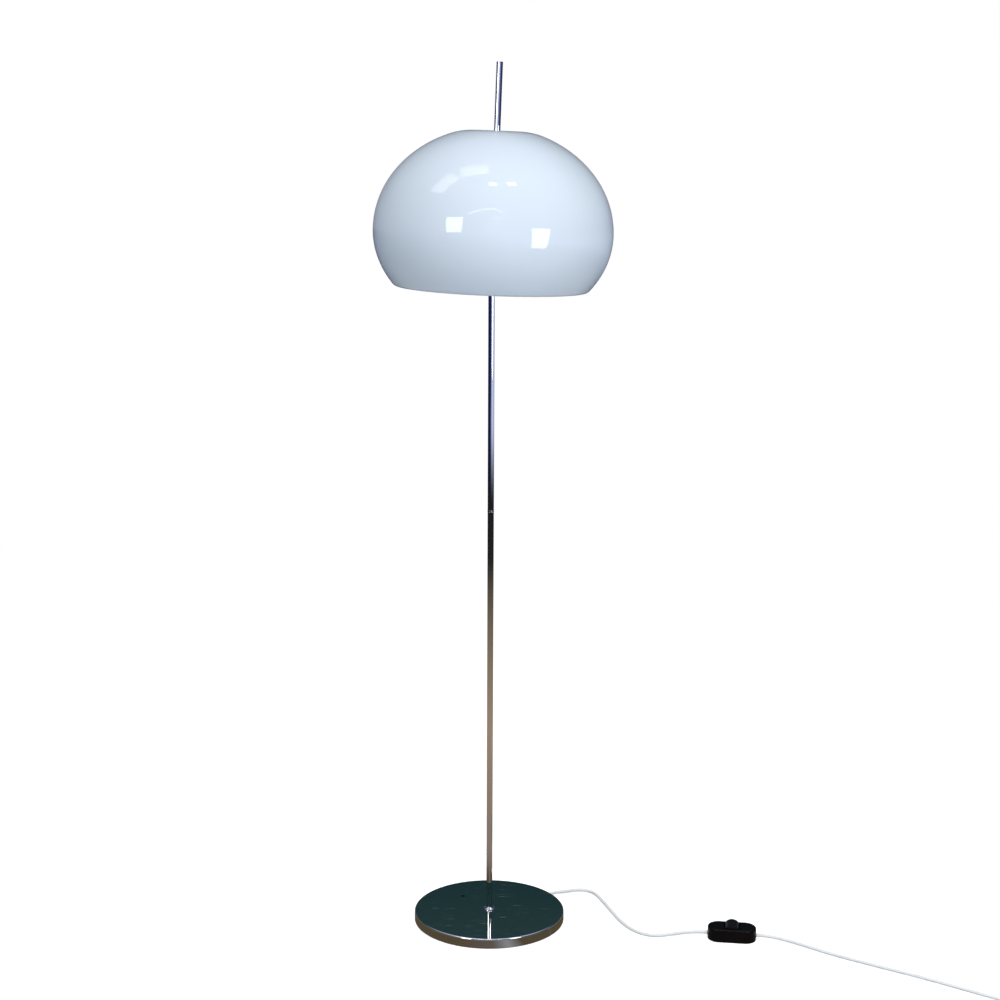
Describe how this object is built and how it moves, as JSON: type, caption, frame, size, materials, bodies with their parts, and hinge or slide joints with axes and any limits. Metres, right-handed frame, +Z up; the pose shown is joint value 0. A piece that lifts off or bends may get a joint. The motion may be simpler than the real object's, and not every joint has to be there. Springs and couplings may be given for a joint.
{
  "type": "floor lamp",
  "caption": "Floor lamp with a white dome shade that slides on a leaning rod, a slim chromed pole, a round weighted foot and an inline foot switch on its cord.",
  "frame": {"origin": "centre of the felt pad's underside, on the floor, on the pole's axis", "axes": "+Z up along the pole; -Y is the side the lamp is seen from; +X to its right, the side the cord lies on"},
  "size_m": [1.378, 0.6366, 1.6734],
  "materials": {
    "chrome": "polished chrome plate with fine scratches",
    "chrome_rod": "polished chrome plate",
    "chrome_ball": "polished chrome plate",
    "brass": "turned brass",
    "cast_iron": "raw casting",
    "felt": "dark felt",
    "steel": "zinc plated",
    "plated_steel": "nickel plated, satin",
    "rubber": "matt",
    "white_rubber": "matt white",
    "white_cord": "satin white sheath",
    "lead_sleeve": "satin sleeve",
    "white_plastic": "satin",
    "holder_plastic": "satin ivory",
    "bulb_cap": "rolled metal thread",
    "opal_glass": "opal, satin",
    "opal_acrylic": "polished opal white acrylic",
    "switch_black": "polished black",
    "rocker_black": "polished black",
    "switch_bush": "matt black",
    "tie_black": "matt",
    "plug_white": "satin white",
    "plug_pin": "nickel plated"
  },
  "bodies": {
    "stand": {"arm_1": "brass", "arm_2": "brass", "arm_3": "brass", "ballast_disc": "cast_iron", "base_cover": "chrome", "base_lock_nut": "steel", "base_nipple": "steel", "base_washer": "steel", "bulb_cap_1": "bulb_cap", "bulb_cap_2": "bulb_cap", "bulb_cap_3": "bulb_cap", "bulb_glass_1": "opal_glass", "bulb_glass_2": "opal_glass", "bulb_glass_3": "opal_glass", "cluster_lower": "chrome_ball", "cluster_nipple": "steel", "cluster_upper": "chrome_ball", "coil_tie": "tie_black", "cord_clip": "white_plastic", "cord_coil": "white_cord", "cord_gland": "white_rubber", "cord_inner": "white_cord", "cord_to_coil": "white_cord", "cord_to_plug": "white_cord", "cord_to_switch": "white_cord", "felt_pad": "felt", "foot_collar": "chrome", "guide_rod": "chrome_rod", "joint_nipple": "steel", "joint_ring": "chrome", "lamp_holder_1": "holder_plastic", "lamp_holder_2": "holder_plastic", "lamp_holder_3": "holder_plastic", "lower_tube": "chrome", "plug_body": "plug_white", "plug_pin_left": "plug_pin", "plug_pin_right": "plug_pin", "plug_relief": "plug_white", "pole_lead": "lead_sleeve", "rocker_pin": "steel", "rod_collar": "chrome_rod", "rod_end_cap": "chrome_rod", "rod_nipple": "steel", "switch_base": "switch_black", "switch_cover": "switch_black", "switch_relief_in": "switch_bush", "switch_relief_out": "switch_bush", "switch_screw_in": "steel", "switch_screw_out": "steel", "switch_tail_in": "white_cord", "switch_tail_out": "white_cord", "terminal_block": "white_plastic", "upper_tube": "chrome"},
    "shade_carrier": {"seat_ring": "rubber", "carrier_plate": "plated_steel", "carrier_nut": "plated_steel", "carrier_hub": "plated_steel"},
    "shade": {"shade": "opal_acrylic"},
    "clamp_screw": {"thumbscrew": "plated_steel"},
    "switch_rocker": {"switch_rocker": "rocker_black"}
  },
  "joints": [
    {"name": "shade_slide", "type": "slide", "parent": "stand", "child": "shade_carrier", "axis": [0.0349, 0, 0.9994], "range_m": [-0.08, 0.11]},
    {"name": "shade_turn", "type": "hinge", "parent": "shade_carrier", "child": "shade", "pos_m": [0.00908, 0, 1.54504], "axis": [0.0349, 0, 0.9994], "continuous": true},
    {"name": "clamp_screw_turn", "type": "hinge", "parent": "shade_carrier", "child": "clamp_screw", "pos_m": [0.00845, -0.02, 1.52705], "axis": [0, -1, 0], "range_deg": [0, 540]},
    {"name": "switch_rock", "type": "hinge", "parent": "stand", "child": "switch_rocker", "pos_m": [0.4748, -0.094, 0.0145], "axis": [0.1323, 0.9912, 0], "range_deg": [-8, 8]}
  ]
}
